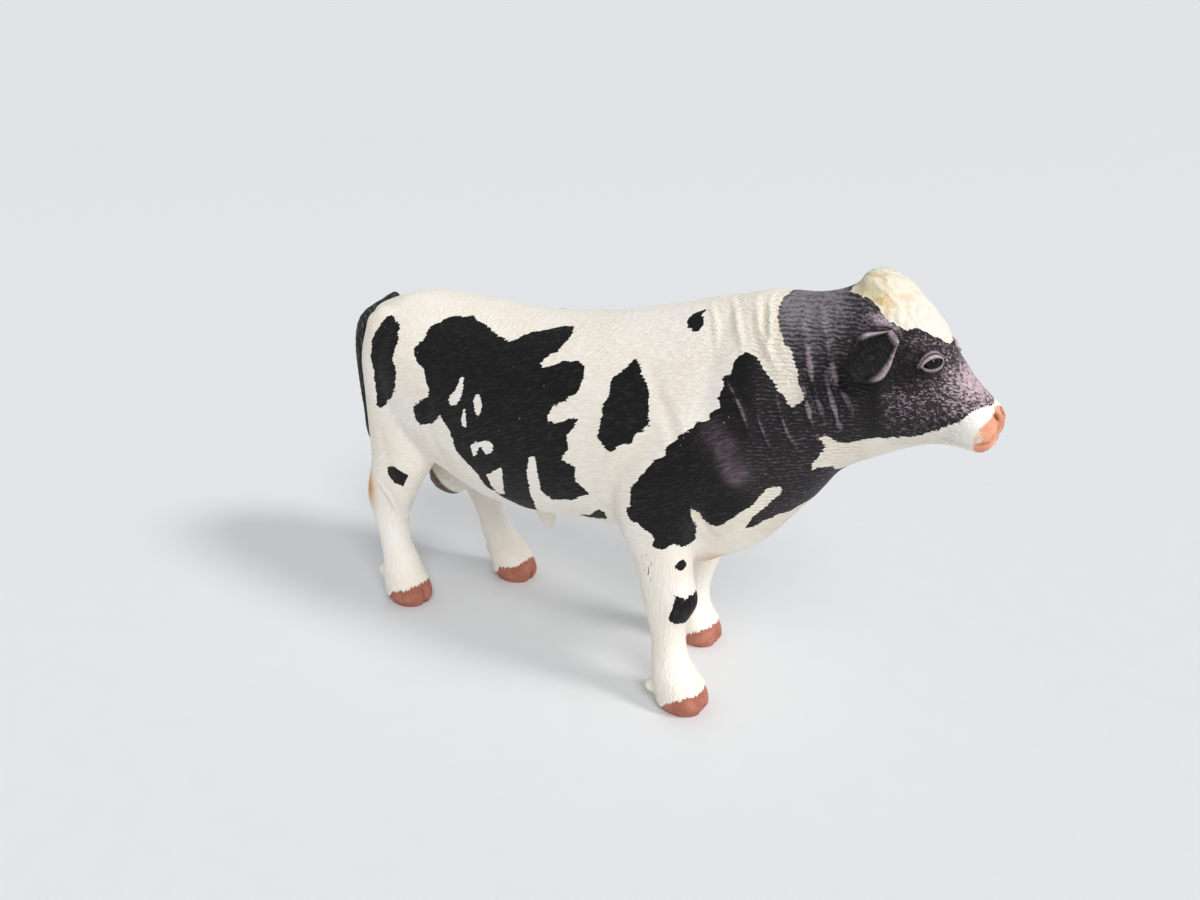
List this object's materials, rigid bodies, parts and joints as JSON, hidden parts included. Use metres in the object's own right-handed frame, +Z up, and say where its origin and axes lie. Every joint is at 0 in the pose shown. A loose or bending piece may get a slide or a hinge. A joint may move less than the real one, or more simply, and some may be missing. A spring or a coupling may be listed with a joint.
{
  "type": "toy farm animal figure",
  "caption": "Rigid standing dairy bull figure with a patched coat, raised head, cleft hooves and a hanging tail, cast in glued pieces.",
  "frame": {"origin": "on the ground under the middle of the figure's bounding box", "axes": "+X towards the nose, +Y to the bull's left, +Z up"},
  "size_m": [0.137, 0.038, 0.0838],
  "materials": {
    "coat_white": "hand-painted warm white coat with near-black patches over PVC, satin",
    "coat_dark": "dark grey and black painted head and neck with a cream poll and white muzzle, satin",
    "coat_black": "near-black paint, satin"
  },
  "bodies": {
    "root": {"torso": "coat_white", "head_and_neck": "coat_dark", "front_right_leg": "coat_white", "front_left_leg": "coat_white", "hind_right_leg": "coat_white", "hind_left_leg": "coat_white", "tail": "coat_black", "right_ear": "coat_black", "left_ear": "coat_black", "scrotum": "coat_white"}
  },
  "joints": []
}
